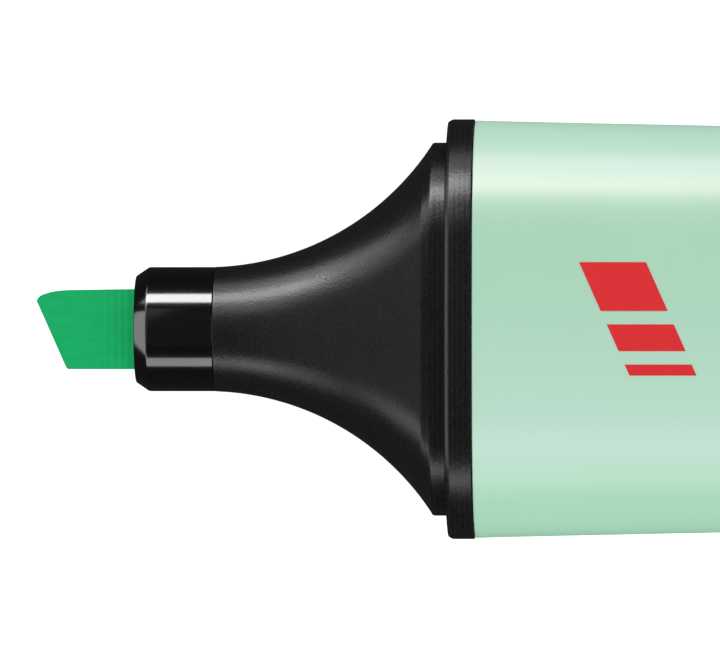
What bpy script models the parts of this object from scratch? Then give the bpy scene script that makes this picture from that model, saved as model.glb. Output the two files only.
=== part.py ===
"""A broad flat highlighter, uncapped, lying on its wide face with its cap posted on the rear end.

Metres, +Z up. +X runs from the nib to the rear, +Y across the wide face, and Z through the thickness.
The origin is on the surface that the pen lies on, under the middle of its length.

Every moulded piece is a stack of cross-sections along the pen's axis. A section is a rounded rectangle,
given by its half width, half thickness and corner radius. A solid piece runs through its sections from
one end to the other, a cup folds back inside itself, and a tube comes back to its first section.
Along the pen, x is 0 at the barrel's front edge. In the cap, depth is 0 at the rim.
"""

import math

import bmesh
import bpy

MM = 0.001

# Driving dimensions: the outside of the pen.
PEN_WIDTH = 27.0 * MM
PEN_THICKNESS = 17.0 * MM
BARREL_LENGTH = 66.0 * MM
FLANGE_LENGTH = 1.7 * MM
COLLAR_LENGTH = 1.15 * MM
CONE_LENGTH = 13.85 * MM
HOLDER_LENGTH = 5.15 * MM  # the part that shows in front of the cone
NIB_REACH = 6.3 * MM  # the nib's point ahead of its holder
PLUG_RIM_LENGTH = 2.0 * MM
CAP_LENGTH = 35.0 * MM
CAP_POSTED_DEPTH = 10.0 * MM

# Walls and fits.
COLLAR_INSET = 1.5 * MM  # the collar's sides are this much inside the flange, for the cap's wall
COLLAR_FACE_INSET = 1.9 * MM  # and its wide faces this much
WALL = 1.4 * MM
FIT_GAP = 0.2 * MM  # between pieces pressed together
SOCKET_GAP = 0.3 * MM  # round a spigot in its socket
CAP_GAP = 0.35 * MM  # between the cap's mouth and the collar's sides
BARREL_INSET = 0.1 * MM  # the barrel's front edge inside the flange
BARREL_TAPER = 1.4 * MM  # how far each side of the barrel draws in over its length
MOULD_EDGE = 0.15 * MM  # the small bevel on a moulded edge
CAP_TAPER = 0.9 * MM
CAP_INSIDE_TAPER = 0.9 * MM
CAP_BAND_LENGTH = 2.0 * MM  # the straight band at the cap's mouth
CAP_EDGE_RADIUS = 1.4 * MM

# The oval section: a stadium whose ends have a short flat.
SIDE_FLAT = 0.5 * MM
ROUND_FLAT = 0.05 * MM
CORNER_STEPS = 8

# The front section's flare is an arc of each outline, tangent to the round nose.
NOSE_RADIUS = 4.0 * MM
FLARE_RADIUS_ACROSS = 17.36 * MM
TANGENT_AHEAD = 0.58 * MM  # the arcs start this far in front of the nose's face
FACET_END_AHEAD = 0.4 * MM  # the wide faces reach full thickness this far before the collar
CONE_STEPS = 9
COLLAR_EDGE = 0.2 * MM
SPIGOT_LENGTH = 7.0 * MM
BEAD_HEIGHT = 0.15 * MM
BEAD_LENGTH = 1.2 * MM

# The nib and its holder.
NIB_WIDTH = 5.15 * MM
NIB_THICKNESS = 3.2 * MM
NIB_UPPER_SLOPE = 0.12 * MM  # how far the upper edge falls from the holder to the tip
NIB_SLANT = math.radians(24.0)
NIB_TAIL_BEHIND_FRONT = 4.5 * MM  # how far the nib's tail reaches past the barrel's front edge
NIB_EDGE = 0.35 * MM
HOLDER_NOSE_RADIUS = 3.42 * MM
HOLDER_NOSE_LENGTH = 0.95 * MM
HOLDER_TAIL_RADIUS = 3.35 * MM
HOLDER_TAIL_LENGTH = 3.0 * MM
WEB_THICKNESS = 1.0 * MM

# The ink reservoir: a fibre core in a film wrap.
WRAP_WIDTH = 19.6 * MM
WRAP_THICKNESS = 9.8 * MM
WRAP_WALL = 0.3 * MM
RESERVOIR_FRONT = -1.5 * MM
RESERVOIR_LENGTH = 59.0 * MM

# The end plug.
PLUG_SPIGOT_LENGTH = 6.5 * MM
PLUG_RIB = 1.2 * MM
PLUG_RIB_REACH = 1.6 * MM  # the ribs stand this far out of the spigot, against the reservoir

# The sealing thimble inside the cap.
THIMBLE_MOUTH = 15.8 * MM  # its mouth's depth inside the cap
THIMBLE_BORE = 4.25 * MM
THIMBLE_WALL = 1.0 * MM
THIMBLE_FOOT_WIDTH = 18.0 * MM
THIMBLE_FOOT_THICKNESS = 10.0 * MM
THIMBLE_FOOT_HEIGHT = 1.0 * MM
THIMBLE_FLOOR = 2.2 * MM

# Places along the pen.
FLANGE_FRONT = -FLANGE_LENGTH
COLLAR_FRONT = FLANGE_FRONT - COLLAR_LENGTH
NOSE_FACE = COLLAR_FRONT - CONE_LENGTH
HOLDER_FRONT = NOSE_FACE - HOLDER_LENGTH
NIB_POINT = HOLDER_FRONT - NIB_REACH
PEN_REAR = BARREL_LENGTH + PLUG_RIM_LENGTH
CAP_MOUTH = PEN_REAR - CAP_POSTED_DEPTH
CAP_END = CAP_MOUTH + CAP_LENGTH
AXIS_HEIGHT = PEN_THICKNESS / 2
MIDDLE = (NIB_POINT + CAP_END) / 2

COLLAR_HALF_WIDTH = PEN_WIDTH / 2 - COLLAR_INSET
COLLAR_HALF_THICKNESS = PEN_THICKNESS / 2 - COLLAR_FACE_INSET
TANGENT = NOSE_FACE - TANGENT_AHEAD
FACET_END = COLLAR_FRONT - FACET_END_AHEAD
FACET_RISE = COLLAR_HALF_THICKNESS - NOSE_RADIUS
FLARE_RADIUS_THROUGH = ((FACET_END - TANGENT) ** 2 + FACET_RISE**2) / (2 * FACET_RISE)

COLOURS = {
    "mint_plastic": ((0.41, 0.67, 0.51), 0.3),
    "satin_black_plastic": ((0.012, 0.012, 0.014), 0.5),
    "gloss_black_plastic": ((0.008, 0.008, 0.009), 0.12),
    "green_fibre": ((0.012, 0.4, 0.12), 0.85),
    "inked_fibre": ((0.05, 0.5, 0.2), 0.9),
    "clear_film": ((0.85, 0.9, 0.88), 0.15),
    "natural_plastic": ((0.75, 0.76, 0.74), 0.4),
}


def clear_scene():
    for old in list(bpy.data.objects):
        bpy.data.objects.remove(old, do_unlink=True)


def plastic(name):
    """The Principled material of that name, made once."""
    if name in bpy.data.materials:
        return bpy.data.materials[name]
    colour, roughness = COLOURS[name]
    material = bpy.data.materials.new(name)
    material.use_nodes = True
    shader = material.node_tree.nodes["Principled BSDF"]
    shader.inputs["Base Color"].default_value = (*colour, 1.0)
    shader.inputs["Roughness"].default_value = roughness
    shader.inputs["Metallic"].default_value = 0.0
    return material


def section(x, half_width, half_thickness, corner):
    """A rounded rectangle across the pen at x: its points in order, starting on the +Y +Z corner."""
    points = []
    for side_y, side_z, start in ((1, 1, 0), (-1, 1, 90), (-1, -1, 180), (1, -1, 270)):
        centre_y = side_y * (half_width - corner)
        centre_z = side_z * (half_thickness - corner)
        for step in range(CORNER_STEPS + 1):
            angle = math.radians(start + 90 * step / CORNER_STEPS)
            y = centre_y + corner * math.cos(angle)
            z = centre_z + corner * math.sin(angle)
            points.append((x, y, z))
    return points


def oval(x, half_width, half_thickness):
    """The pen's own section: nearly a stadium."""
    return section(x, half_width, half_thickness, half_thickness - SIDE_FLAT)


def disc(x, radius):
    return section(x, radius, radius, radius - ROUND_FLAT)


def slot(x, gap):
    """The nib's own section, with a gap all round it."""
    return section(x, NIB_WIDTH / 2 + gap, NIB_THICKNESS / 2 + gap, NIB_EDGE + 2 * gap)


def finish(mesh, name, material, parent):
    """Makes the object from the bmesh, on the pen's axis, and shades its round faces smooth."""
    bmesh.ops.recalc_face_normals(mesh, faces=mesh.faces)
    data = bpy.data.meshes.new(name)
    mesh.to_mesh(data)
    mesh.free()
    data.materials.append(plastic(material))
    data.shade_smooth()
    data.set_sharp_from_angle(angle=math.radians(30))
    piece = bpy.data.objects.new(name, data)
    bpy.context.scene.collection.objects.link(piece)
    piece.parent = parent
    return piece


def stack(name, sections, material, parent, tube=False):
    """Skins the sections in order. A tube joins its last to its first, and other pieces have end faces."""
    mesh = bmesh.new()
    rings = [[mesh.verts.new(point) for point in points] for points in sections]
    pairs = list(zip(rings, rings[1:]))
    if tube:
        pairs.append((rings[-1], rings[0]))
    else:
        mesh.faces.new(rings[0])
        mesh.faces.new(rings[-1])
    for first, second in pairs:
        count = len(first)
        for i in range(count):
            following = (i + 1) % count
            mesh.faces.new((first[i], first[following], second[following], second[i]))
    return finish(mesh, name, material, parent)


def axis_empty(name, x):
    """An empty on the pen's axis, x along from the barrel's front edge."""
    empty = bpy.data.objects.new(name, None)
    bpy.context.scene.collection.objects.link(empty)
    empty.location = (x - MIDDLE, 0, AXIS_HEIGHT)
    return empty


def flare(x, radius):
    """How far from the axis an arc of that radius has swung at x, tangent to the nose."""
    return NOSE_RADIUS + radius - math.sqrt(radius**2 - (x - TANGENT) ** 2)


def cone_sections(inset, first_x):
    """The front section's flare, drawn in by inset, from first_x to the collar. Its section goes from
    a circle at the nose to the oval at the collar."""
    stops = [first_x + (FACET_END - first_x) * step / CONE_STEPS for step in range(CONE_STEPS + 1)]
    sections = []
    for x in (*stops, COLLAR_FRONT):
        through = min(flare(x, FLARE_RADIUS_THROUGH), COLLAR_HALF_THICKNESS)
        share = (through - NOSE_RADIUS) / FACET_RISE
        flat = ROUND_FLAT + (SIDE_FLAT - ROUND_FLAT) * share
        half_thickness = through - inset
        half_width = max(flare(x, FLARE_RADIUS_ACROSS) - inset, half_thickness)
        sections.append(section(x, half_width, half_thickness, half_thickness - flat))
    return sections


def bead(x, half_width, half_thickness, height):
    """A snap ring round a wall: four sections from x, standing out by height."""
    ramp = BEAD_LENGTH / 3
    rises = ((0, 0), (ramp, height), (2 * ramp, height), (3 * ramp, 0))
    return [oval(x + along, half_width + rise, half_thickness + rise) for along, rise in rises]


def front_section(parent):
    """The black moulding from the nose to the flange, hollow, with a spigot for the barrel."""
    flange = (PEN_WIDTH / 2, PEN_THICKNESS / 2)
    collar = (COLLAR_HALF_WIDTH, COLLAR_HALF_THICKNESS)
    spigot = [size - BARREL_INSET - WALL - SOCKET_GAP for size in flange]
    inside = [size - WALL for size in spigot]
    web_front = NOSE_FACE + HOLDER_TAIL_LENGTH + FIT_GAP
    web_back = web_front + WEB_THICKNESS
    outside = [
        *cone_sections(0, NOSE_FACE),
        oval(COLLAR_FRONT + COLLAR_EDGE, *collar),
        oval(FLANGE_FRONT, *collar),
        oval(FLANGE_FRONT, *(size - COLLAR_EDGE for size in flange)),
        oval(FLANGE_FRONT + COLLAR_EDGE, *flange),
        oval(0, *flange),
        oval(0, *spigot),
        *bead(SPIGOT_LENGTH / 2, *spigot, BEAD_HEIGHT),
        oval(SPIGOT_LENGTH, *spigot),
    ]
    hollow = [
        oval(SPIGOT_LENGTH, *inside),
        oval(FLANGE_FRONT, *inside),
        *reversed(cone_sections(WALL, web_back)),
        slot(web_back, SOCKET_GAP),
        slot(web_front, SOCKET_GAP),
        disc(web_front, HOLDER_TAIL_RADIUS + FIT_GAP),
        disc(NOSE_FACE, HOLDER_TAIL_RADIUS + FIT_GAP),
    ]
    return stack("front_section", outside + hollow, "satin_black_plastic", parent, tube=True)


def nib_holder(parent):
    """The glossy ring that carries the nib: a blunt nose, a cylinder, and a tail pressed into the cone."""
    shoulder = NOSE_FACE - FIT_GAP
    tail_end = NOSE_FACE + HOLDER_TAIL_LENGTH
    tail_lead = 0.4 * MM
    sections = [
        disc(HOLDER_FRONT, HOLDER_NOSE_RADIUS),
        disc(HOLDER_FRONT + HOLDER_NOSE_LENGTH / 2, (HOLDER_NOSE_RADIUS + NOSE_RADIUS) / 2 + FIT_GAP / 2),
        disc(HOLDER_FRONT + HOLDER_NOSE_LENGTH, NOSE_RADIUS),
        disc(shoulder, NOSE_RADIUS),
        disc(shoulder, HOLDER_TAIL_RADIUS),
        disc(tail_end - tail_lead, HOLDER_TAIL_RADIUS),
        disc(tail_end, HOLDER_TAIL_RADIUS - tail_lead / 2),
        slot(tail_end, FIT_GAP),
        slot(HOLDER_FRONT, FIT_GAP),
    ]
    return stack("nib_holder", sections, "gloss_black_plastic", parent, tube=True)


def nib_outline():
    """The nib's outline on the wide face: a slanted chisel end, a rounded corner and a pointed tail."""
    tail = NIB_TAIL_BEHIND_FRONT
    tail_lead = 1.2 * MM
    half = NIB_WIDTH / 2
    upper = half - NIB_UPPER_SLOPE
    corner_drop = 0.6 * MM  # the point is this far below the nib's upper edge
    corner_run = 1.6 * MM  # and the upper edge's rounding ends this far behind it
    point_y = upper - corner_drop
    lower_x = NIB_POINT + (point_y + half) * math.tan(NIB_SLANT)
    rounding = ((NIB_POINT, point_y), (NIB_POINT + corner_drop / 2, upper), (NIB_POINT + corner_run, upper))
    outline = []
    steps = 6
    for step in range(steps + 1):
        t = step / steps
        weights = ((1 - t) ** 2, 2 * t * (1 - t), t**2)
        outline.append([sum(w * stop[axis] for w, stop in zip(weights, rounding)) for axis in (0, 1)])
    outline += [
        (HOLDER_FRONT, half),
        (tail - tail_lead, half),
        (tail, half - tail_lead),
        (tail, tail_lead - half),
        (tail - tail_lead, -half),
        (lower_x, -half),
    ]
    return outline


def nib(parent):
    """The bonded-fibre chisel: its outline, extruded through the thickness, with worn edges."""
    mesh = bmesh.new()
    lower = [mesh.verts.new((x, y, -NIB_THICKNESS / 2)) for x, y in nib_outline()]
    face = mesh.faces.new(lower)
    grown = bmesh.ops.extrude_face_region(mesh, geom=[face])["geom"]
    upper = [part for part in grown if isinstance(part, bmesh.types.BMVert)]
    bmesh.ops.translate(mesh, verts=upper, vec=(0, 0, NIB_THICKNESS))
    rims = [e for e in mesh.edges if abs(e.verts[0].co.z - e.verts[1].co.z) < NIB_EDGE]
    bmesh.ops.bevel(mesh, geom=rims, offset=NIB_EDGE, segments=2, profile=0.5, affect="EDGES")
    return finish(mesh, "nib", "green_fibre", parent)


def barrel_half_sizes(x):
    """The barrel's outside half width and half thickness at x. All its sides draw in evenly."""
    drawn_in = BARREL_INSET + BARREL_TAPER * x / BARREL_LENGTH
    return PEN_WIDTH / 2 - drawn_in, PEN_THICKNESS / 2 - drawn_in


def barrel(parent):
    """The coloured shell, open at both ends: a straight socket at each end, tapered between."""
    front = barrel_half_sizes(0)
    rear = barrel_half_sizes(BARREL_LENGTH)
    socket_end = SPIGOT_LENGTH + 1.0 * MM
    plug_socket = BARREL_LENGTH - PLUG_SPIGOT_LENGTH - 0.5 * MM
    front_inside = [size - WALL for size in front]
    rear_inside = [size - WALL for size in rear]
    middle_inside = [size - WALL for size in barrel_half_sizes(socket_end)]
    groove = bead(SPIGOT_LENGTH / 2, *front_inside, BEAD_HEIGHT)
    outside = [
        oval(FIT_GAP, *(size - MOULD_EDGE for size in front)),
        oval(FIT_GAP + MOULD_EDGE, *front),
        oval(BARREL_LENGTH - MOULD_EDGE, *rear),
        oval(BARREL_LENGTH, *(size - MOULD_EDGE for size in rear)),
    ]
    inside = [
        oval(BARREL_LENGTH, *rear_inside),
        oval(plug_socket, *rear_inside),
        oval(socket_end, *middle_inside),
        oval(SPIGOT_LENGTH + FIT_GAP, *front_inside),
        *reversed(groove),
        oval(FIT_GAP, *front_inside),
    ]
    return stack("barrel", outside + inside, "mint_plastic", parent, tube=True)


def reservoir_wrap(parent):
    """The clear film rolled round the reservoir, a thin sleeve open at both ends."""
    outer = (WRAP_WIDTH / 2, WRAP_THICKNESS / 2)
    inner = [size - WRAP_WALL for size in outer]
    ends = (RESERVOIR_FRONT, RESERVOIR_FRONT + RESERVOIR_LENGTH)
    sections = [oval(x, *outer) for x in ends] + [oval(x, *inner) for x in reversed(ends)]
    return stack("reservoir_wrap", sections, "clear_film", parent, tube=True)


def ink_reservoir(parent):
    """The ink-soaked fibre core, with the slot that the nib's tail has pressed into its front end."""
    size = [half - WRAP_WALL - FIT_GAP for half in (WRAP_WIDTH / 2, WRAP_THICKNESS / 2)]
    edge = 0.4 * MM
    front = RESERVOIR_FRONT + FIT_GAP
    rear = RESERVOIR_FRONT + RESERVOIR_LENGTH - FIT_GAP
    slot_end = NIB_TAIL_BEHIND_FRONT + FIT_GAP
    sections = [
        oval(rear, *(half - edge for half in size)),
        oval(rear - edge, *size),
        oval(front + edge, *size),
        oval(front, *(half - edge for half in size)),
        slot(front, FIT_GAP),
        slot(slot_end, FIT_GAP),
    ]
    return stack("ink_reservoir", sections, "inked_fibre", parent)


def block(name, low, high, parent):
    """A box between two corners."""
    mesh = bmesh.new()
    bmesh.ops.create_cube(mesh, size=1)
    for vert in mesh.verts:
        vert.co = [a + (b - a) * (c + 0.5) for a, b, c in zip(low, high, vert.co)]
    return finish(mesh, name, "satin_black_plastic", parent)


def end_plug(parent):
    """The plug that closes the barrel: a rim, a hollow spigot, and ribs that hold the reservoir."""
    rim = [size - MOULD_EDGE for size in barrel_half_sizes(BARREL_LENGTH)]
    spigot = [size - WALL - SOCKET_GAP for size in barrel_half_sizes(BARREL_LENGTH)]
    cavity = [size - PLUG_RIB for size in spigot]
    edge = 0.5 * MM
    rim_front = BARREL_LENGTH + FIT_GAP
    spigot_front = BARREL_LENGTH - PLUG_SPIGOT_LENGTH
    sections = [
        oval(PEN_REAR, *(size - edge for size in rim)),
        oval(PEN_REAR - edge, *rim),
        oval(rim_front, *rim),
        oval(rim_front, *spigot),
        oval(spigot_front + edge, *spigot),
        oval(spigot_front, *(size - edge / 2 for size in spigot)),
        oval(spigot_front, *cavity),
        oval(BARREL_LENGTH, *cavity),
    ]
    plug = stack("end_plug", sections, "satin_black_plastic", parent)
    reach = spigot_front - PLUG_RIB_REACH
    root = BARREL_LENGTH + 0.5 * MM
    overlap = PLUG_RIB / 2
    half = PLUG_RIB / 2
    ribs = [((reach, -cavity[0] - overlap, -half), (root, cavity[0] + overlap, half))]
    for side in (-1, 1):
        y = side * cavity[0] / 2
        ribs.append(((reach, y - half, -cavity[1] - overlap), (root, y + half, cavity[1] + overlap)))
    for number, (low, high) in enumerate(ribs):
        rib = block(f"plug_rib_{number}", low, high, parent)
        rib.hide_render = True
        rib.display_type = "WIRE"
        join = plug.modifiers.new(rib.name, "BOOLEAN")
        join.operation = "UNION"
        join.object = rib
    return plug


def cap_half_sizes(depth):
    """The cap's outside half sizes: straight at the mouth, then drawing in to the end."""
    share = max(0, depth - CAP_BAND_LENGTH) / (CAP_LENGTH - CAP_BAND_LENGTH)
    return PEN_WIDTH / 2 - CAP_TAPER * share, PEN_THICKNESS / 2 - CAP_TAPER * share


def cap_inside_half_sizes(depth):
    """The cap's inside half sizes, measured in from the flange."""
    drawn_in = COLLAR_INSET - CAP_GAP + CAP_INSIDE_TAPER * depth / CAP_LENGTH
    return PEN_WIDTH / 2 - drawn_in, PEN_THICKNESS / 2 - drawn_in


def cap_shell(parent):
    """The cap's outer shell: a cup with a flat closed end whose edge is rounded."""
    round_steps = 4
    floor = CAP_LENGTH - WALL
    outside = []
    for step in range(round_steps + 1):
        angle = math.radians(90 * step / round_steps)
        depth = CAP_LENGTH - CAP_EDGE_RADIUS * (1 - math.sin(angle))
        drawn_in = CAP_EDGE_RADIUS * (1 - math.cos(angle))
        outside.append(oval(depth, *(size - drawn_in for size in cap_half_sizes(depth))))
    outside.reverse()
    outside += [
        oval(CAP_BAND_LENGTH, *cap_half_sizes(CAP_BAND_LENGTH)),
        oval(MOULD_EDGE, *cap_half_sizes(0)),
        oval(0, *(size - MOULD_EDGE for size in cap_half_sizes(0))),
    ]
    inside = [
        oval(0, *(size + MOULD_EDGE for size in cap_inside_half_sizes(0))),
        oval(MOULD_EDGE, *cap_inside_half_sizes(MOULD_EDGE)),
        oval(floor, *cap_inside_half_sizes(floor)),
    ]
    return stack("cap_shell", outside + inside, "satin_black_plastic", parent)


def inner_cap(parent):
    """The sealing thimble, which slips over the nib holder on a closed pen. Its foot is at the cap's end."""
    foot_back = CAP_LENGTH - WALL - FIT_GAP
    foot_front = foot_back - THIMBLE_FOOT_HEIGHT
    foot = (THIMBLE_FOOT_WIDTH / 2, THIMBLE_FOOT_THICKNESS / 2)
    outer = THIMBLE_BORE + THIMBLE_WALL
    lead = 0.5 * MM
    sections = [
        oval(foot_back, *foot),
        oval(foot_front, *foot),
        disc(foot_front, outer),
        disc(THIMBLE_MOUTH + lead, outer),
        disc(THIMBLE_MOUTH, outer - lead / 2),
        disc(THIMBLE_MOUTH, THIMBLE_BORE + lead / 2),
        disc(THIMBLE_MOUTH + lead, THIMBLE_BORE),
        disc(foot_back - THIMBLE_FLOOR, THIMBLE_BORE),
    ]
    return stack("inner_cap", sections, "natural_plastic", parent)


def build():
    clear_scene()
    pen_axis = axis_empty("pen_axis", 0)
    cap_slide = axis_empty("cap_slide", CAP_MOUTH)
    for make in (nib, nib_holder, front_section, barrel, ink_reservoir, reservoir_wrap, end_plug):
        make(pen_axis)
    for make in (cap_shell, inner_cap):
        make(cap_slide)


build()
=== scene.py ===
# %% [markdown]
# # A flat highlighter, ready to write
# The pen lies on its wide face with its cap posted on the rear end. A packed plain model gives every size
# and joint. This lesson builds the fine surface of each moulded piece over it, and gives each piece the
# finish of the plastic or fibre that the real one is made of.

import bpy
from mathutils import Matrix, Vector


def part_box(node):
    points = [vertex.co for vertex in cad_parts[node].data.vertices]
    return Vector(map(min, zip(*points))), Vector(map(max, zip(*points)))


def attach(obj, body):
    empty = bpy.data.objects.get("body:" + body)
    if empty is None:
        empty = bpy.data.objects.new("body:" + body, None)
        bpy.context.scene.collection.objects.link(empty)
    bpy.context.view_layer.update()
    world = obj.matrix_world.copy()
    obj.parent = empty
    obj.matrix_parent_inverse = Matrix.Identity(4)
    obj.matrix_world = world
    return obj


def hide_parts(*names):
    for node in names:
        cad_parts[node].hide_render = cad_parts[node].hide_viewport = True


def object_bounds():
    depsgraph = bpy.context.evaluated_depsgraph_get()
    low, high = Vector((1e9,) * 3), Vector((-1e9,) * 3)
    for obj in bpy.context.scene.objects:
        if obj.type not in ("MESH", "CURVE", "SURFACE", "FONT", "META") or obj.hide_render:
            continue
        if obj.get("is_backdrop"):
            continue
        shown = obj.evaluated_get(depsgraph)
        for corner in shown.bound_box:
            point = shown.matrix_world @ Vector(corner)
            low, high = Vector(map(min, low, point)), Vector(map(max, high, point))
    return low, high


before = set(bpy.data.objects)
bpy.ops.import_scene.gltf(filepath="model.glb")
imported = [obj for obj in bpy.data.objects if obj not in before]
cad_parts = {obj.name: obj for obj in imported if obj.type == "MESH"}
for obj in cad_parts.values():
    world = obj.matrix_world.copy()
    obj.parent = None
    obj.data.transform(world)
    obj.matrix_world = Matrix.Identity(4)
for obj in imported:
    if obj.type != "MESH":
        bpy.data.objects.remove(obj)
cad_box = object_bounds()

# %% [markdown]
# ## Sizes
# The plain model is the ruler. Where a piece starts and ends is read off its box, so the fine surface lands
# exactly on the plain one. Wall thicknesses and edge roundings don't show in a box, so they are named in
# millimetres where a piece first needs them.

# %% Read the pen's stations and half sizes
import math

import bmesh
import bpy
from mathutils import Matrix, Vector

MM = 0.001


def reach(node):
    """Where a node starts and ends along the pen."""
    low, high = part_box(node)
    return low.x, high.x


def half_sizes(node):
    """Half the width and half the thickness of a node's box."""
    low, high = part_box(node)
    return (high.y - low.y) / 2, (high.z - low.z) / 2


nib_point, nib_tail = reach("nib")
holder_front, holder_tail = reach("nib_holder")
nose_face, spigot_end = reach("front_section")
barrel_front, barrel_rear = reach("barrel")
plug_front, pen_rear = reach("end_plug")
cap_mouth, cap_end = reach("cap_shell")
flange_sizes = half_sizes("front_section")
axis_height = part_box("front_section")[0].z + flange_sizes[1]
seam = barrel_front - 0.2 * MM  # the flange's back face, a hair in front of the barrel
flange_mm = [2000 * half for half in flange_sizes]
print(f"flange {flange_mm[0]:.1f} x {flange_mm[1]:.1f} mm, axis {1000 * axis_height:.1f} mm up")

# %% [markdown]
# ## The section of the pen
# Across the pen every moulding is the same kind of shape: two half-round sides and two wide faces that are
# very slightly crowned, because a dead flat wall sinks as it cools. It could be a rounded rectangle with a
# bevel, but then the light breaks where flat meets round. Four arcs that share their tangents give one
# unbroken highlight. When width and thickness are equal, the same rule gives a plain circle, so the round
# nose can flow into the oval collar with the same number of points all the way.

# %% The oval outline
FACE_LEAN = math.radians(5)  # how far the crowned face leans where it meets the round side
FACE_STEPS = 8
SIDE_STEPS = 44


def arcs(half_width, half_thickness):
    """The side arcs' radius and distance from the axis, and the wide faces' radius."""
    lean = math.tan(FACE_LEAN / 2)
    side = (half_thickness - half_width * lean) / (1 - lean)
    out = half_width - side
    return side, out, side + out / math.sin(FACE_LEAN)


def oval(x, half_width, half_thickness):
    """The outline's points across the pen at x, going round from the lower +Y side."""
    side, out, face = arcs(half_width, half_thickness)
    drop = half_thickness - face
    turn, lean = math.pi, FACE_LEAN
    stretches = (
        (out, 0, side, lean - turn / 2, turn / 2 - lean, SIDE_STEPS),
        (0, drop, face, turn / 2 - lean, turn / 2 + lean, FACE_STEPS),
        (-out, 0, side, turn / 2 + lean, turn * 1.5 - lean, SIDE_STEPS),
        (0, -drop, face, turn * 1.5 - lean, turn * 1.5 + lean, FACE_STEPS),
    )
    points = []
    for y, z, radius, start, end, steps in stretches:
        for step in range(steps):
            angle = start + (end - start) * step / steps
            across = y + radius * math.cos(angle)
            up = axis_height + z + radius * math.sin(angle)
            points.append(Vector((x, across, up)))
    return points


print(len(oval(0, *flange_sizes)), "points round each section")

# %% [markdown]
# ## Walls from stations
# A moulding is drawn as a list of stations along the pen: where, how wide, how thick, and how much the
# corner there is rounded. Spinning won't do, because the pen isn't round, and a Bevel modifier would treat
# every edge alike. So each corner is replaced by a short curve first, and then the stations are skinned.

# %% Round the corners and skin the stations
CORNER_STEPS = 5


def rounded(stations):
    """Replaces each station that has a rounding by a curve that starts and ends that far from it."""
    corners = [(Vector(place[:3]), place[3] if len(place) > 3 else 0) for place in stations]
    result = []
    for i, (corner, rounding) in enumerate(corners):
        if not rounding:
            result.append(corner)
            continue
        before = corners[i - 1][0] - corner
        after = corners[i + 1][0] - corner
        start = corner + before * (rounding / before.xy.length)
        end = corner + after * (rounding / after.xy.length)
        for step in range(CORNER_STEPS + 1):
            t = step / CORNER_STEPS
            result.append(start * (1 - t) ** 2 + corner * 2 * t * (1 - t) + end * t**2)
    return result


def ovals(*stations):
    """The rings of points of a run of stations."""
    return [oval(*station) for station in rounded(stations)]


def skin(rings, tube=False, mesh=None):
    """Fills between rings of points. A tube joins its last ring to its first, others get end faces."""
    mesh = mesh or bmesh.new()
    loops = [[mesh.verts.new(point) for point in ring] for ring in rings]
    pairs = list(zip(loops, loops[1:]))
    if tube:
        pairs.append((loops[-1], loops[0]))
    else:
        mesh.faces.new(loops[0])
        mesh.faces.new(loops[-1])
    for first, second in pairs:
        for i, point in enumerate(first):
            j = (i + 1) % len(first)
            mesh.faces.new((point, first[j], second[j], second[i]))
    return mesh


def thinner(sizes, by):
    """The same half sizes, drawn in all round."""
    return sizes[0] - by, sizes[1] - by


def piece(name, mesh, material, node, body="pen"):
    """Makes the object, shades it smooth, hangs it on the body it rides on, and hides the plain node it
    stands for.
    """
    bmesh.ops.recalc_face_normals(mesh, faces=mesh.faces)
    data = bpy.data.meshes.new(name)
    mesh.to_mesh(data)
    mesh.free()
    data.materials.append(material)
    data.shade_smooth()
    data.set_sharp_from_angle(angle=math.radians(32))
    made = bpy.data.objects.new(name, data)
    bpy.context.scene.collection.objects.link(made)
    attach(made, body)
    if node:
        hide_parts(node)
    size = [1000 * side for side in made.dimensions]
    print(f"{name}: {len(data.polygons)} faces, {size[0]:.2f} x {size[1]:.2f} x {size[2]:.2f} mm")


# %% [markdown]
# ## Finishes: the tools
# Every finish is a small network of nodes. Colours are written as the hex values that a paint chart gives,
# which are sRGB, while the renderer adds light up in linear values, so one function turns them over.
# Patterns are worked out in millimetres from the pen's own coordinates: they stay put when a piece slides,
# and they need no unwrapping.

# %% Colours, nodes and a plastic to start from


def linear(hex_colour):
    """An sRGB hex colour as linear red, green and blue with alpha 1."""
    channels = [int(hex_colour[i : i + 2], 16) / 255 for i in (1, 3, 5)]
    return [c / 12.92 if c <= 0.04045 else ((c + 0.055) / 1.055) ** 2.4 for c in channels] + [1.0]


def add(tree, kind, sockets=None, **settings):
    """Adds a node: settings are its own options, and sockets gives each input a value or what feeds it."""
    made = tree.nodes.new(kind)
    for name, value in settings.items():
        setattr(made, name, value)
    for name, value in (sockets or {}).items():
        if isinstance(value, bpy.types.NodeSocket):
            tree.links.new(value, made.inputs[name])
        else:
            made.inputs[name].default_value = value
    return made


def finish(name, **values):
    """A new material with its Principled shader, and the pen's own coordinates in millimetres."""
    material = bpy.data.materials.new(name)
    material.use_nodes = True
    tree = material.node_tree
    shader = tree.nodes["Principled BSDF"]
    for socket, value in values.items():
        shader.inputs[socket.replace("_", " ")].default_value = value
    place = add(tree, "ShaderNodeTexCoord").outputs["Object"]
    in_mm = add(tree, "ShaderNodeMapping", {"Vector": place, "Scale": (1000, 1000, 1000)})
    return material, tree, shader, in_mm.outputs["Vector"]


def tell(*materials):
    """Prints how many nodes each finish has."""
    for material in materials:
        print(f"{material.name}: {len(material.node_tree.nodes)} nodes")


print("mint in linear light:", [round(c, 3) for c in linear("#a1d7b6")[:3]])

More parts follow.
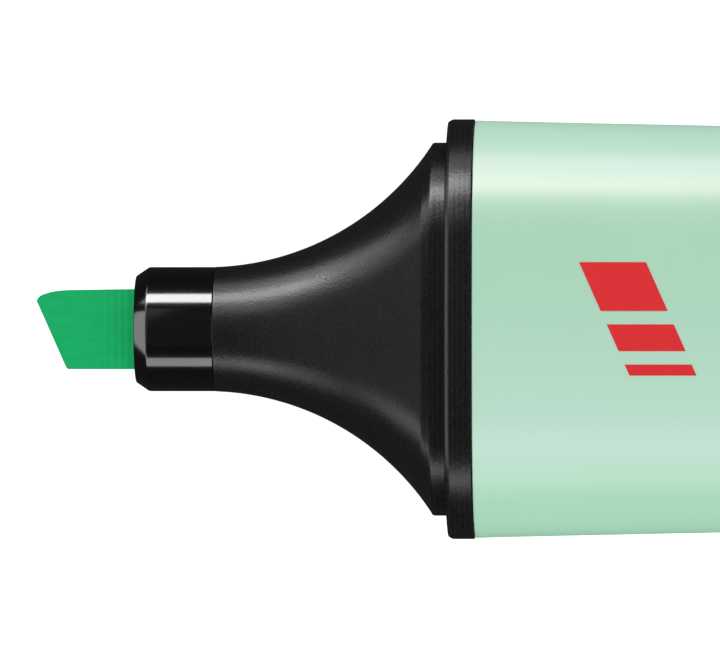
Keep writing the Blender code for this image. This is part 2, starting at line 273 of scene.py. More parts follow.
# %% [markdown]
# ## Finish: pastel mint polypropylene
# The barrel is polypropylene with a white-loaded pastel pigment, moulded in a polished steel tool. The skin
# is glossy, but the waxy plastic scatters light just under it, so its highlights are soft. Two reflections,
# a fairly tight one and a thin, wide coat over it, give that look without a slow subsurface shader. The
# tight one is tinted rose, mint's opposite, so that the highlights come out a pale cream. The pigment is
# never mixed perfectly, so the colour drifts a little over about a centimetre, and the wall has a faint
# orange peel a millimetre or so across.

# %% Mint polypropylene


def mint_polypropylene():
    material, tree, shader, mm = finish(
        "mint_polypropylene", Roughness=0.35, IOR=1.49, Specular_IOR_Level=0.72
    )
    shader.inputs["Specular Tint"].default_value = (1.0, 0.5, 0.6, 1.0)
    shader.inputs["Coat Weight"].default_value = 0.25
    shader.inputs["Coat Roughness"].default_value = 0.6
    drift = add(tree, "ShaderNodeTexNoise", {"Vector": mm, "Scale": 1 / 9, "Detail": 2.0})
    colour = add(
        tree,
        "ShaderNodeMix",
        {0: drift.outputs["Fac"], 6: linear("#a1d7b6"), 7: linear("#a5dcbc")},
        data_type="RGBA",
    )
    tree.links.new(colour.outputs[2], shader.inputs["Base Color"])
    peel = add(tree, "ShaderNodeTexNoise", {"Vector": mm, "Scale": 1 / 1.2, "Detail": 1.0})
    height = peel.outputs["Fac"]
    bump = add(tree, "ShaderNodeBump", {"Height": height, "Strength": 0.05, "Distance": 0.02 * MM})
    tree.links.new(bump.outputs["Normal"], shader.inputs["Normal"])
    return material


mint = mint_polypropylene()
tell(mint)

# %% [markdown]
# ## Finish: black polypropylene from a spark-eroded tool
# The front section and the cap are black polypropylene. Their tool was eroded by sparks, which leaves a
# fine grain all over, about 0.17 mm from bump to bump, so the black looks satin. Its height drives the
# colour too: the pits are painted darker and the tops paler, painted shade and highlight that make the
# grain show. The collar and the flange carry faint rings from turning as well, a third of a millimetre
# apart, and their troughs and crests are painted the same way.

# %% Spark-eroded black polypropylene
GRAIN = 0.17
RING_SPACING = 0.33
RING_SHARE = 0.12  # how deep a ring is beside the grain


def spark_eroded_black(name, rings_from=None):
    """rings_from is where along the pen, in millimetres, the turned rings begin."""
    material, tree, shader, mm = finish(name, IOR=1.49, Specular_IOR_Level=0.45)
    grain = add(tree, "ShaderNodeTexNoise", {"Vector": mm, "Scale": 1 / GRAIN, "Detail": 2.0})
    height = grain.outputs["Fac"]
    if rings_from is not None:
        along = add(tree, "ShaderNodeSeparateXYZ", {"Vector": mm}).outputs["X"]
        turned = add(tree, "ShaderNodeMath", {0: along, 1: rings_from}, operation="GREATER_THAN")
        turns = 2 * math.pi / RING_SPACING
        wave = add(tree, "ShaderNodeMath", {0: along, 1: turns}, operation="MULTIPLY")
        ring = add(tree, "ShaderNodeMath", {0: wave.outputs[0]}, operation="SINE")
        shown = add(
            tree, "ShaderNodeMath", {0: ring.outputs[0], 1: turned.outputs[0]}, operation="MULTIPLY"
        )
        both = {0: shown.outputs[0], 1: RING_SHARE, 2: height}
        height = add(tree, "ShaderNodeMath", both, operation="MULTIPLY_ADD").outputs[0]
    # Painted shade and highlight: low grain and ring troughs are darker, high grain and ring crests paler.
    shade = add(tree, "ShaderNodeMapRange", {"Value": height, "From Min": 0.25, "From Max": 0.75})
    colour = add(
        tree,
        "ShaderNodeMix",
        {0: shade.outputs["Result"], 6: linear("#0a0a0b"), 7: linear("#1b1b1c")},
        data_type="RGBA",
    )
    tree.links.new(colour.outputs[2], shader.inputs["Base Color"])
    bump = add(tree, "ShaderNodeBump", {"Height": height, "Strength": 0.55, "Distance": 0.02 * MM})
    tree.links.new(bump.outputs["Normal"], shader.inputs["Normal"])
    patches = add(tree, "ShaderNodeTexNoise", {"Vector": mm, "Scale": 1 / 1.5, "Detail": 3.0})
    worn = {"Value": patches.outputs["Fac"], "To Min": 0.24, "To Max": 0.32}
    rough = add(tree, "ShaderNodeMapRange", worn)
    tree.links.new(rough.outputs["Result"], shader.inputs["Roughness"])
    return material


RINGS_AHEAD = 2.9  # the rings start this far ahead of the seam, where the collar does
grip_black = spark_eroded_black("spark_eroded_black_polypropylene", rings_from=seam / MM - RINGS_AHEAD)
cap_black = spark_eroded_black("satin_black_polypropylene")
tell(grip_black, cap_black)

# %% [markdown]
# ## Finish: polished black ABS
# The nib holder is moulded in a mirror-polished tool, and ABS copies that mirror. Its reflections are
# sharp. The only texture is the faint haze that fingers and the cap leave, which varies the roughness
# slightly.

# %% Polished black ABS


def polished_black_abs():
    material, tree, shader, mm = finish(
        "polished_black_abs", Base_Color=linear("#080809"), IOR=1.54, Specular_IOR_Level=0.9
    )
    haze = add(tree, "ShaderNodeTexNoise", {"Vector": mm, "Scale": 1 / 2.0, "Detail": 2.0})
    hazy = {"Value": haze.outputs["Fac"], "To Min": 0.1, "To Max": 0.14}
    rough = add(tree, "ShaderNodeMapRange", hazy)
    tree.links.new(rough.outputs["Result"], shader.inputs["Roughness"])
    return material


holder_black = polished_black_abs()
tell(holder_black)

# %% [markdown]
# ## Finish: bonded polyester fibre
# The nib is a bundle of polyester fibres that run along the pen, glued with resin, ground to a chisel and
# soaked with green ink. Fibres are about 0.02 mm thick, too fine to show, so they are drawn as streaks
# three times as coarse. Ink pools darker in some of them, at random. The ground edges, where the surface
# turns away from straight up, are also painted darker, which is painted shade. A little emission of the
# ink's own colour makes the whole nib glow, painted light that stands in for the fluorescent dye. Near the
# holder faint pleats run across the squeezed fibres, drawn only as paler and darker bands in the colour,
# which is painted light and shade of their grooves. It isn't glossy, and the loose fibre ends give it a
# trace of sheen.

# %% Inked polyester fibre
PLEAT_SPACING = 0.45
# The pleats are painted light and shade: paler and darker bands in the colour, with no bump.
PLEAT_SHADE_SHARE = 0.2  # how much a pleat changes the colour
PLEATS_FROM, PLEATS_FULL = 2.2, 1.2  # how far ahead of the holder they begin, and reach that


def bonded_fibre(name, pale, deep, streak=0.06, painted_glow=0.0, gripped_at=None):
    """streak is a fibre streak's width, and gripped_at is where the holder grips, both in millimetres."""
    material, tree, shader, mm = finish(
        name, Roughness=0.8, IOR=1.5, Specular_IOR_Level=0.12, Sheen_Weight=0.03, Emission_Strength=painted_glow
    )
    stretch = (1 / 1.2, 1 / streak, 1 / streak)  # each streak is 1.2 mm long
    stretched = add(tree, "ShaderNodeMapping", {"Vector": mm, "Scale": stretch}).outputs["Vector"]
    fibres = add(tree, "ShaderNodeTexNoise", {"Vector": stretched, "Scale": 0.5, "Detail": 3.0})
    pooling = add(tree, "ShaderNodeTexNoise", {"Vector": mm, "Scale": 1 / 0.8, "Detail": 3.0})
    both = add(
        tree, "ShaderNodeMath", {0: fibres.outputs["Fac"], 1: pooling.outputs["Fac"]}, operation="MULTIPLY"
    )
    spread = {"Value": both.outputs[0], "From Min": 0.1, "From Max": 0.4, "To Min": 0.6}
    share = add(tree, "ShaderNodeMapRange", spread).outputs["Result"]
    if gripped_at is not None:
        x = add(tree, "ShaderNodeSeparateXYZ", {"Vector": mm}).outputs["X"]
        squeezed = {"Value": x, "From Min": gripped_at - PLEATS_FROM, "From Max": gripped_at - PLEATS_FULL}
        near = add(tree, "ShaderNodeMapRange", squeezed).outputs["Result"]
        # Painted light and shade: each pleat is a paler and a darker band in the colour, standing in for its
        # groove.
        turns = add(tree, "ShaderNodeMath", {0: x, 1: 2 * math.pi / PLEAT_SPACING}, operation="MULTIPLY")
        pleat = add(tree, "ShaderNodeMath", {0: turns.outputs[0]}, operation="SINE")
        drawn = add(tree, "ShaderNodeMath", {0: pleat.outputs[0], 1: near}, operation="MULTIPLY")
        pleat_shaded = {0: drawn.outputs[0], 1: PLEAT_SHADE_SHARE, 2: share}
        share = add(tree, "ShaderNodeMath", pleat_shaded, operation="MULTIPLY_ADD").outputs[0]
        # Painted shade: where the surface turns away from straight up, at the ground edges, the colour goes
        # to the deep ink.
        way = add(tree, "ShaderNodeTexCoord").outputs["Normal"]
        up = add(tree, "ShaderNodeSeparateXYZ", {"Vector": way}).outputs["Z"]
        flat = add(tree, "ShaderNodeMapRange", {"Value": up, "From Min": 0.5, "From Max": 0.98})
        edge_shaded = {0: share, 1: flat.outputs["Result"]}
        share = add(tree, "ShaderNodeMath", edge_shaded, operation="MULTIPLY").outputs[0]
    inks = {0: share, 6: linear(deep), 7: linear(pale)}
    colour = add(tree, "ShaderNodeMix", inks, data_type="RGBA").outputs[2]
    tree.links.new(colour, shader.inputs["Base Color"])
    # Painted light: the nib's colour is also its emission, so it glows whatever lights it.
    tree.links.new(colour, shader.inputs["Emission Color"])
    height = fibres.outputs["Fac"]
    bump = add(tree, "ShaderNodeBump", {"Height": height, "Strength": 0.3, "Distance": 0.02 * MM})
    tree.links.new(bump.outputs["Normal"], shader.inputs["Normal"])
    return material


nib_green = bonded_fibre(
    "inked_polyester_nib", "#089a59", "#02824a", painted_glow=0.35, gripped_at=holder_front / MM
)
tell(nib_green)

# %% [markdown]
# ## The barrel
# The barrel is an open tube, wider at the front than at the rear so that it slips off the core of its tool.
# Each end has a straight socket, the front one for the front section and the rear one for the plug. Its
# front edge is rounded, and that narrow rounding is what draws a pale line beside the black flange.

# %% Build the barrel
WALL = 1.4 * MM
BARREL_TAPER = 1.4 * MM  # how far every side draws in from front to rear
PLUG_SOCKET = 7.0 * MM
barrel_wide = half_sizes("barrel")


def barrel_sizes(x):
    """The barrel's outside half sizes at x."""
    return thinner(barrel_wide, BARREL_TAPER * (x - barrel_front) / (barrel_rear - barrel_front))


front_inside = thinner(barrel_wide, WALL)
rear_inside = thinner(barrel_sizes(barrel_rear), WALL)
between = [barrel_front + (barrel_rear - barrel_front) * step / 12 for step in range(1, 12)]
barrel_start = seam + 0.05 * MM
barrel = ovals(
    (barrel_start, *front_inside),
    (barrel_start, *thinner(barrel_wide, -0.03 * MM), 0.1 * MM),
    (barrel_start + 1.2 * MM, *thinner(barrel_sizes(barrel_start + 1.2 * MM), -0.01 * MM), 0.5 * MM),
    *((x, *barrel_sizes(x)) for x in between),
    (barrel_rear, *barrel_sizes(barrel_rear), 0.2 * MM),
    (barrel_rear, *rear_inside, 0.1 * MM),
    (barrel_rear - PLUG_SOCKET, *rear_inside),
    (spigot_end + 1.0 * MM, *thinner(barrel_sizes(spigot_end), WALL)),
    (spigot_end + 0.2 * MM, *front_inside),
)
piece("barrel_shell", skin(barrel, tube=True), mint, "barrel")

# %% [markdown]
# ## The printed mark
# Pens carry a printed mark in the middle of the wide face. This one is plain: three strokes, from broad to
# fine as a chisel nib draws them, cut off at the nib's own slant. Pad printing lays the ink on in a film
# about 0.02 mm thick. A pattern inside the barrel's finish would blur when it is baked to an image, so each
# stroke is a thin sheet of mesh that follows the crowned and tapered face.

# %% Print the strokes


def face_height(x, y):
    """How high the barrel's upper face is above the floor."""
    half_width, half_thickness = barrel_sizes(x)
    face = arcs(half_width, half_thickness)[2]
    return axis_height + half_thickness - face + math.sqrt(face**2 - y**2)


def red_pad_ink():
    material, tree, shader, mm = finish(
        "red_pad_printing_ink", Roughness=0.5, IOR=1.5, Specular_IOR_Level=0.25
    )
    spread = add(tree, "ShaderNodeTexNoise", {"Vector": mm, "Scale": 1 / 0.3, "Detail": 2.0})
    reds = {0: spread.outputs["Fac"], 6: linear("#d81a22"), 7: linear("#e32027")}
    colour = add(tree, "ShaderNodeMix", reds, data_type="RGBA")
    tree.links.new(colour.outputs[2], shader.inputs["Base Color"])
    return material


MARK_LENGTH = 4.25 * MM
MARK_HEIGHTS = (3.1 * MM, 1.7 * MM, 0.7 * MM)
MARK_SPACE = 0.85 * MM
MARK_SLANT = math.radians(24)
INK_UP = 0.02 * MM
INK_DOWN = 0.01 * MM  # the sheet's underside is this far inside the wall, so no gap shows
mark_x = seam + 10.6 * MM
mark_y = 0.65 * MM


def stroke(mesh, top_y, height):
    """A slanted bar of ink that hangs down from top_y, as a closed thin sheet on the barrel's face."""
    columns, rows = 24, 8
    sheets = []
    for rise in (INK_UP, -INK_DOWN):
        grid = []
        for row in range(rows + 1):
            y = top_y - height * row / rows
            slide = (mark_y - y) * math.tan(MARK_SLANT)
            xs = [mark_x + slide + MARK_LENGTH * (column / columns - 0.5) for column in range(columns + 1)]
            grid.append([mesh.verts.new((x, y, face_height(x, y) + rise)) for x in xs])
        sheets.append(grid)
    for grid in sheets:
        for row in range(rows):
            for column in range(columns):
                near, far = grid[row], grid[row + 1]
                mesh.faces.new((near[column], near[column + 1], far[column + 1], far[column]))
    upper, lower = (
        [*grid[0], *(row[-1] for row in grid[1:-1]), *grid[-1][::-1], *(row[0] for row in grid[-2:0:-1])]
        for grid in sheets
    )
    for i in range(len(upper)):
        j = (i + 1) % len(upper)
        mesh.faces.new((upper[i], upper[j], lower[j], lower[i]))


mark = bmesh.new()
mark_height = sum(MARK_HEIGHTS) + MARK_SPACE * (len(MARK_HEIGHTS) - 1)
y = mark_y + mark_height / 2
for height in MARK_HEIGHTS:
    stroke(mark, y, height)
    y -= height + MARK_SPACE
piece("printed_strokes", mark, red_pad_ink(), None)

# %% [markdown]
# ## The front section
# This moulding starts as a round nose and flares into the oval collar, which the cap grips, and then into
# the flange, which the cap stops against. The flare is a circle's arc in both outlines: a tight one across
# the wide face, and a gentler one through the thickness. Between them the section changes from circle to
# oval, and that is what raises the two soft ridges along the cone.

# %% Build the front section
NOSE_RADIUS = 4.0 * MM
FLARE_ACROSS = 17.36 * MM
TANGENT_AHEAD = 0.58 * MM
FLANGE_LENGTH = 1.7 * MM
COLLAR_LENGTH = 1.15 * MM
FACET_END_AHEAD = 0.4 * MM  # the wide faces reach the collar's thickness this far in front of it
FLARE_STEPS = 40
COLLAR_INSET = 1.5 * MM  # at the sides
COLLAR_FACE_INSET = 1.9 * MM  # on the wide faces
collar_sizes = (flange_sizes[0] - COLLAR_INSET, flange_sizes[1] - COLLAR_FACE_INSET)
flange_front = seam - FLANGE_LENGTH
collar_front = flange_front - COLLAR_LENGTH
tangent = nose_face - TANGENT_AHEAD
facet_end = collar_front - FACET_END_AHEAD
facet_rise = collar_sizes[1] - NOSE_RADIUS
FLARE_THROUGH = ((facet_end - tangent) ** 2 + facet_rise**2) / (2 * facet_rise)


def flare(x, radius):
    return NOSE_RADIUS + radius - math.sqrt(radius**2 - (x - tangent) ** 2)


def flare_stations(thickness, first, steps):
    """Stations of the flare's outside, or of its inside when a wall thickness is taken off."""
    xs = [first + (facet_end - first) * step / steps for step in range(steps + 1)]
    sizes = [thinner((flare(x, FLARE_ACROSS), flare(x, FLARE_THROUGH)), thickness) for x in xs]
    return [(x, max(*size), size[1]) for x, size in zip(xs, sizes)]


def slot_ring(x, gap):
    """The nib's section, a rounded rectangle with a gap all round, with as many points as an oval."""
    sizes = thinner(half_sizes("nib"), -gap)
    edge = 0.35 * MM + gap
    steps = (FACE_STEPS + SIDE_STEPS) // 2
    points = []
    for side_y, side_z, start in ((1, -1, -90), (1, 1, 0), (-1, 1, 90), (-1, -1, 180)):
        for step in range(steps):
            angle = math.radians(start + 90 * step / (steps - 1))
            across = side_y * (sizes[0] - edge) + edge * math.cos(angle)
            up = axis_height + side_z * (sizes[1] - edge) + edge * math.sin(angle)
            points.append(Vector((x, across, up)))
    return points


spigot = thinner(barrel_wide, WALL + 0.3 * MM)
inside = thinner(spigot, WALL)
bore = (3.55 * MM, 3.55 * MM)
web_front = holder_tail + 0.2 * MM
web_back = web_front + 1.0 * MM
outer = flare_stations(0, nose_face, FLARE_STEPS)
front = ovals(
    (nose_face, *bore),
    (*outer[0], 0.05 * MM),
    *outer[1:-1],
    (*outer[-1], 0.1 * MM),
    (collar_front, flare(collar_front, FLARE_ACROSS), collar_sizes[1]),
    (collar_front + 0.17 * MM, *collar_sizes, 0.15 * MM),
    (flange_front - 0.1 * MM, *collar_sizes),
    (flange_front + 0.02 * MM, *thinner(flange_sizes, 0.16 * MM), 0.04 * MM),
    (flange_front + 0.29 * MM, *flange_sizes, 0.05 * MM),
    (seam, *flange_sizes, 0.05 * MM),
    (seam, *spigot),
    (spigot_end, *spigot, 0.3 * MM),
    (spigot_end, *inside),
    (flange_front, *inside),
    *reversed(flare_stations(WALL, web_back, 12)),
)
front += [slot_ring(web_back, 0.3 * MM), slot_ring(web_front, 0.3 * MM)]
front += ovals((web_front, *bore))
piece("front_moulding", skin(front, tube=True), grip_black, "front_section")

# %% [markdown]
# ## The nib holder
# The holder is a turned shape with a slot through it: a short cone that leads the sealing cap on, a
# cylinder, and a tail that presses into the nose. Polished plastic shows every edge as a line of light, so
# its edges are only just rounded.

# %% Build the nib holder
holder_radius = half_sizes("nib_holder")[0]
shoulder = nose_face - 0.02 * MM
tail_radius = 3.35 * MM
LEAD_IN = 0.9 * MM
holder = [slot_ring(holder_front + 0.06 * MM, 0.04 * MM)]
holder += ovals(
    (holder_front + 0.06 * MM, 3.2 * MM, 3.2 * MM),
    (holder_front + 0.06 * MM, 3.43 * MM, 3.43 * MM, 0.06 * MM),
    (holder_front + LEAD_IN, holder_radius, holder_radius, 0.08 * MM),
    (shoulder, holder_radius, holder_radius, 0.05 * MM),
    (shoulder, tail_radius, tail_radius),
    (holder_tail - 0.4 * MM, tail_radius, tail_radius, 0.1 * MM),
    (holder_tail, tail_radius - 0.2 * MM, tail_radius - 0.2 * MM),
)
holder += [slot_ring(holder_tail, 0.04 * MM)]
piece("holder_ring", skin(holder, tube=True), holder_black, "nib_holder")

# %% [markdown]
# ## The nib
# The nib is a slab of bonded fibre, so it is drawn as its outline and given its thickness, and then its
# edges are rounded over as grinding leaves them. The tip is cut at a slant. The long corner of the cut has
# worn round, which is why it is drawn through four points that fall away little by little.

# %% Build the nib
NIB_SLANT = math.radians(24)
WORN_CORNER = ((0.0, 0.7, 0.1), (0.28, 0.4, 0.15), (0.95, 0.17, 0.3), (1.82, 0.06, 0.4))
nib_half = half_sizes("nib")[0]
low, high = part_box("nib")
tail_lead = 1.2 * MM
worn = [(nib_point + back * MM, nib_half - drop * MM, 0, cut * MM) for back, drop, cut in WORN_CORNER]
sharp_x = nib_point + (worn[0][1] + nib_half) * math.tan(NIB_SLANT)
outline = rounded(
    [
        (nib_tail, tail_lead - nib_half, 0),
        (nib_tail - tail_lead, -nib_half, 0),
        (sharp_x, -nib_half, 0, 0.15 * MM),
        *worn,
        (holder_front, nib_half, 0),
        (nib_tail - tail_lead, nib_half, 0),
        (nib_tail, nib_half - tail_lead, 0),
    ]
)
nib = skin([[Vector((x, y, z)) for x, y, _ in outline] for z in (low.z, high.z)])
rims = [edge for edge in nib.edges if abs(edge.verts[0].co.z - edge.verts[1].co.z) < 0.1 * MM]
GROUND_EDGE = 0.3 * MM
bmesh.ops.bevel(
    nib, geom=rims, offset=GROUND_EDGE, segments=4, profile=0.5, affect="EDGES", clamp_overlap=True
)
piece("chisel_nib", nib, nib_green, "nib")

# %% [markdown]
# ## The rear plug
# The plug closes the barrel. Only its rim and its slightly sunk rear face ever show, and only with the cap
# off. Inside, it has a hollow spigot with three ribs that stop the ink reservoir from sliding.

# %% Build the plug
RIB = 1.2 * MM
SPIGOT_LENGTH = 6.5 * MM
rim = half_sizes("end_plug")
plug_spigot = thinner(rear_inside, 0.3 * MM)
cavity = thinner(plug_spigot, RIB)
spigot_front = barrel_rear - SPIGOT_LENGTH
plug = skin(
    ovals(
        (pen_rear - 0.5 * MM, *thinner(rim, 3.2 * MM)),
        (pen_rear - 0.5 * MM, *thinner(rim, 2.4 * MM), 0.4 * MM),
        (pen_rear, *thinner(rim, 1.9 * MM), 0.2 * MM),
        (pen_rear, *rim, 0.5 * MM),
        (barrel_rear + 0.2 * MM, *rim, 0.15 * MM),
        (barrel_rear + 0.2 * MM, *plug_spigot),
        (spigot_front, *plug_spigot, 0.4 * MM),
        (spigot_front, *cavity),
        (barrel_rear, *cavity),
    )
)


def rib(y, z):
    """A rib that reaches y to either side, or from one y to another, and z up and down."""
    section = ((y[0], -z), (y[1], -z), (y[1], z), (y[0], z))
    ends = (plug_front, barrel_rear + 0.5 * MM)
    skin([[Vector((x, across, axis_height + up)) for across, up in section] for x in ends], mesh=plug)


across = cavity[0] + RIB / 2
rib((-across, across), RIB / 2)
for side in (-1, 1):
    middle = side * cavity[0] / 2
    rib((middle - RIB / 2, middle + RIB / 2), cavity[1] + RIB / 2)
piece("rear_plug", plug, cap_black, "end_plug")

# %% [markdown]
# ## The cap and the sealing thimble
# The cap is posted on the rear of the barrel. It is straight for the first 2 mm and then draws in towards a
# closed end with a softly rounded edge. The thimble inside it is a separate moulding of natural,
# unpigmented polyethylene. On a closed pen it slips over the nib holder and keeps the ink from drying.

# %% Build the cap
MOUTH_BAND = 2.0 * MM
CAP_TAPER = 0.9 * MM
CAP_EDGE = 1.4 * MM
cap_wide = half_sizes("cap_shell")
CAP_GAP = 0.35 * MM  # between the mouth and the collar's sides
cap_room = thinner(flange_sizes, COLLAR_INSET - CAP_GAP)
cap_length = cap_end - cap_mouth
cap_last = thinner(cap_wide, CAP_TAPER)
floor_x = cap_end - WALL
band_end = cap_mouth + MOUTH_BAND
steps = [band_end + (cap_end - band_end) * step / 8 for step in range(1, 8)]
cap = ovals(
    (cap_end - 0.12 * MM, *thinner(cap_last, 6.0 * MM)),
    (cap_end, *thinner(cap_last, 2.6 * MM), 0.8 * MM),
    (cap_end, *cap_last, 1.3 * MM),
    *((x, *thinner(cap_wide, CAP_TAPER * (x - band_end) / (cap_end - band_end))) for x in reversed(steps)),
    (band_end, *cap_wide, 0.8 * MM),
    (cap_mouth, *cap_wide, 0.2 * MM),
    (cap_mouth, *cap_room, 0.2 * MM),
    (floor_x, *thinner(cap_room, CAP_TAPER * (floor_x - cap_mouth) / cap_length)),
)
piece("cap_moulding", skin(cap), cap_black, "cap_shell", body="cap")

# %% Build the thimble
thimble_mouth, foot_back = reach("inner_cap")
foot = half_sizes("inner_cap")
THIMBLE_BORE = 4.25 * MM
THIMBLE_WALL = 1.0 * MM
THIMBLE_FLOOR = 2.2 * MM
thimble_outside = THIMBLE_BORE + THIMBLE_WALL
foot_front = foot_back - 1.0 * MM
thimble = ovals(
    (foot_back, *foot),
    (foot_front, *foot, 0.2 * MM),
    (foot_front, thimble_outside, thimble_outside, 0.3 * MM),
    (thimble_mouth, thimble_outside, thimble_outside, 0.3 * MM),
    (thimble_mouth, THIMBLE_BORE, THIMBLE_BORE, 0.35 * MM),
    (foot_back - THIMBLE_FLOOR, THIMBLE_BORE, THIMBLE_BORE),
)


def natural_polyethylene():
    material, tree, shader, mm = finish(
        "natural_polyethylene", Roughness=0.42, IOR=1.51, Subsurface_Weight=0.4, Subsurface_Scale=0.6 * MM
    )
    shader.inputs["Subsurface Radius"].default_value = (1.0, 1.0, 0.9)
    cloud = add(tree, "ShaderNodeTexNoise", {"Vector": mm, "Scale": 1 / 4, "Detail": 2.0})
    whites = {0: cloud.outputs["Fac"], 6: linear("#dcdedb"), 7: linear("#e6e8e4")}
    colour = add(tree, "ShaderNodeMix", whites, data_type="RGBA")
    tree.links.new(colour.outputs[2], shader.inputs["Base Color"])
    return material


piece("sealing_thimble", skin(thimble), natural_polyethylene(), "inner_cap", body="cap")

# %% [markdown]
# ## Inside the barrel
# The ink reservoir and its film wrap keep their plain shapes, because nothing of them shows. They still get
# finishes of their own: the same bonded fibre as the nib, coarser and wetter, and clear polypropylene film
# with faint lines along it from rolling.

# %% Finish the reservoir and its wrap


def clear_film():
    material, tree, shader, mm = finish(
        "clear_polypropylene_film", Base_Color=linear("#edf3f0"), IOR=1.49, Transmission_Weight=0.9
    )
    rolled = add(tree, "ShaderNodeMapping", {"Vector": mm, "Scale": (1 / 20, 1, 1)}).outputs["Vector"]
    streaks = add(tree, "ShaderNodeTexNoise", {"Vector": rolled, "Scale": 1 / 0.8, "Detail": 2.0})
    hazy = {"Value": streaks.outputs["Fac"], "To Min": 0.08, "To Max": 0.2}
    rough = add(tree, "ShaderNodeMapRange", hazy)
    tree.links.new(rough.outputs["Result"], shader.inputs["Roughness"])
    return material


def dress(node, material):
    """Gives a plain node its finish and leaves its shape alone."""
    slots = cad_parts[node].material_slots
    for material_slot in slots:
        material_slot.material = material
    print(f"{node}: {len(slots)} slot(s) now {material.name}")


dress("ink_reservoir", bonded_fibre("ink_soaked_reservoir_fibre", "#3fc07c", "#2aa868", streak=0.15))
dress("reservoir_wrap", clear_film())

# %% [markdown]
# ## The floor and the room
# The pen lies on a white table in a white room. The table is a light table that glows a little, so that no
# hard shadow shows, the outline stays clean and the pen's lower flanks are lit from below. Reflections
# don't see the table, and see the room as nearly dark: black plastic would pick up a grey belly from them
# that black cards hide in a studio. What the black does mirror is left to the softboxes.

# %% Make the floor and the world
scene = bpy.context.scene
scene.view_settings.view_transform = "Standard"
FLOOR_HALF = 7.0
FLOOR_DROP = 0.05 * MM  # so the floor and the pen's lowest line don't fight


def floor_finish():
    material, tree, shader, mm = finish("white_table", Base_Color=linear("#e8e8e8"), Roughness=0.9)
    shader.inputs["Specular IOR Level"].default_value = 0.0
    shader.inputs["Emission Strength"].default_value = 0.65
    shader.inputs["Emission Color"].default_value = (1, 1, 1, 1)
    return material


floor_mesh = bpy.data.meshes.new("floor")
corners = [(x * FLOOR_HALF, y * FLOOR_HALF, -FLOOR_DROP) for x, y in ((-1, -1), (1, -1), (1, 1), (-1, 1))]
floor_mesh.from_pydata(corners, [], [(0, 1, 2, 3)])
floor_mesh.materials.append(floor_finish())
floor = bpy.data.objects.new("floor", floor_mesh)
floor.visible_glossy = False
scene.collection.objects.link(floor)
floor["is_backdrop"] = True

ROOM_LIGHT = 1.0
MIRRORED_ROOM = 0.03  # what a glossy surface sees of the room
world = bpy.data.worlds.new("studio")
world.use_nodes = True
world.cycles.sampling_method = "NONE"  # so that every ray knows whether it comes off gloss
scene.world = world
room = world.node_tree
gloss = add(room, "ShaderNodeLightPath").outputs["Is Glossy Ray"]
two_rooms = {"Value": gloss, "To Min": ROOM_LIGHT, "To Max": MIRRORED_ROOM}
strength = add(room, "ShaderNodeMapRange", two_rooms)
room.links.new(strength.outputs["Result"], room.nodes["Background"].inputs["Strength"])
room.nodes["Background"].inputs["Color"].default_value = (1, 1, 1, 1)
print(f"floor {2 * FLOOR_HALF:.0f} m wide, room {ROOM_LIGHT}, mirrored as {MIRRORED_ROOM}")

# %% [markdown]
# ## The lights
# A black glossy shape is lit by what it mirrors. One long softbox hangs on the far side and draws the
# bright line along the pen's upper edge. A weaker one on the near side draws the second line, and those
# beyond the nib light the flare from the front. They are rectangles that face the pen, and each is set by
# its radiance, the brightness that a mirror would show, because that is what sets the highlights. Area
# lights are given in watts, which is radiance times area times pi.
#
# Matt surfaces already have the room's light, so only gloss sees the softboxes. Two of them light nothing
# but the front section, whose far slope would look flat without them. The waxy barrel glows softly round
# each highlight, so it gets three cards to itself, and the last of those gives matt light alone. They are
# pink, so that the mint gets paler where it gets brighter.

# %% Place the softboxes
target = Vector((seam + 5 * MM, 0, axis_height))


def softbox(
    name, azimuth, elevation, away, width, height, radiance, along=0.0, only=None, tint=(1, 1, 1), matt=False
):
    """A rectangle that faces the pen. Azimuth is the turn from +Y towards -X, and elevation is above level.

    Sizes are in metres. only names the one piece that it lights, and matt makes it light no gloss."""
    turn, lift = math.radians(azimuth), math.radians(elevation)
    towards = Vector(
        (-math.sin(turn) * math.cos(lift), math.cos(turn) * math.cos(lift), math.sin(lift))
    )
    light = bpy.data.lights.new(name, "AREA")
    light.shape = "RECTANGLE"
    light.size, light.size_y = width, height
    light.energy = radiance * math.pi * width * height
    light.color = tint
    box = bpy.data.objects.new(name, light)
    box.location = target + towards * away + Vector((along, 0, 0))
    box.rotation_euler = towards.to_track_quat("Z", "Y").to_euler()
    box.visible_camera = False
    box.visible_diffuse = matt
    box.visible_glossy = not matt
    scene.collection.objects.link(box)
    if only:
        lit = bpy.data.collections.new(name + "_lights")
        lit.objects.link(bpy.data.objects[only])
        box.light_linking.receiver_collection = lit
    print(f"{name}: {1000 * width:.0f} x {1000 * height:.0f} mm, {light.energy:.2f} W")


softbox("far_softbox", 0, 30.5, 0.40, 0.34, 0.125, 11.0, along=-0.12)
softbox("far_veil", 38, 22, 0.50, 0.42, 0.36, 1.6)
softbox("far_nib_softbox", 44, 12, 0.45, 0.22, 0.14, 1.4)
softbox("far_high_softbox", 22, 50, 0.50, 0.20, 0.18, 1.9, only="front_moulding")
softbox("far_low_card", 0, 6, 0.40, 0.6, 0.09, 1.8, only="front_moulding")
softbox("nib_softbox", 98, 19, 0.45, 0.50, 0.17, 2.2)
softbox("high_nib_softbox", 80, 57, 0.60, 0.90, 0.44, 0.29)
softbox("near_softbox", 180, 26, 0.40, 0.34, 0.125, 2.6)
softbox("near_nib_softbox", 150, 24, 0.45, 0.18, 0.20, 1.5)
softbox("cap_softbox", -90, 30, 0.60, 0.40, 0.25, 1.8)
softbox("overhead_card", 90, 88, 1.00, 1.2, 0.8, 0.03)

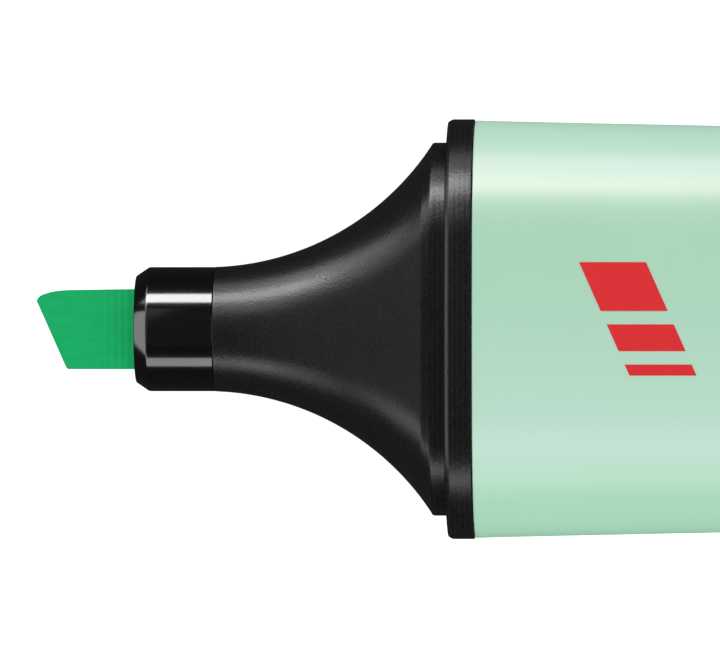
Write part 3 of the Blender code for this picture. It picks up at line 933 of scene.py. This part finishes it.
# %% Place the barrel's own cards
PINK = (1.0, 0.83, 1.35)
NEAR_PINK = (1.0, 0.83, 1.5)
DEEP_PINK = (1.0, 0.4, 0.85)
barrel_only = "barrel_shell"
softbox("near_barrel_card", 180, 61, 0.50, 0.6, 0.38, 2.9, only=barrel_only, tint=NEAR_PINK)
softbox("far_barrel_card", 0, 7, 0.40, 0.6, 0.11, 4.4, only=barrel_only, tint=PINK)
softbox("far_barrel_fill", 0, 4, 0.40, 0.6, 0.05, 5.0, only=barrel_only, tint=DEEP_PINK, matt=True)

# %% [markdown]
# ## The camera
# The camera looks almost straight down from about 0.65 m through a long lens, from a little behind the
# barrel's front edge, and leans towards the nib. A long lens keeps the flange and the barrel in their true
# proportions. The up direction of the picture is the pen's own +Y, so the camera's axes are built from
# that.

# %% Set up the camera
HEIGHT = 0.650
SEEN_LENGTH = 46.28 * MM  # how much of the pen the picture's width takes in
lens_place = Vector((seam + 20.4 * MM, 0, axis_height + HEIGHT))
aim = Vector((seam - 7.39 * MM, -0.055 * MM, axis_height))
back = (lens_place - aim).normalized()
right = Vector((0, 1, 0)).cross(back).normalized()
camera_data = bpy.data.cameras.new("camera")
camera_data.sensor_width = 36.0
camera_data.lens = camera_data.sensor_width * HEIGHT / SEEN_LENGTH
camera_data.clip_start, camera_data.clip_end = 0.05, 30.0
camera = bpy.data.objects.new("camera", camera_data)
camera.rotation_mode = "QUATERNION"
camera.location = lens_place
camera.rotation_quaternion = Matrix((right, back.cross(right), back)).transposed().to_quaternion()
scene.collection.objects.link(camera)
scene.camera = camera
print(f"lens {camera_data.lens:.0f} mm, {1000 * (lens_place - aim).length:.0f} mm from the pen")

# %% [markdown]
# ## The two boxes
# The fine surface has to stay inside the plain model's box, or the pen that is seen and the pen that
# collides would differ. Both boxes are written side by side for that comparison.

# %% Print the two boxes
looks_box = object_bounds()
boxes = {"cad": [list(corner) for corner in cad_box], "looks": [list(corner) for corner in looks_box]}
for name, (low, high) in boxes.items():
    print(name, "box in mm:", [round(1000 * (b - a), 3) for a, b in zip(low, high)])
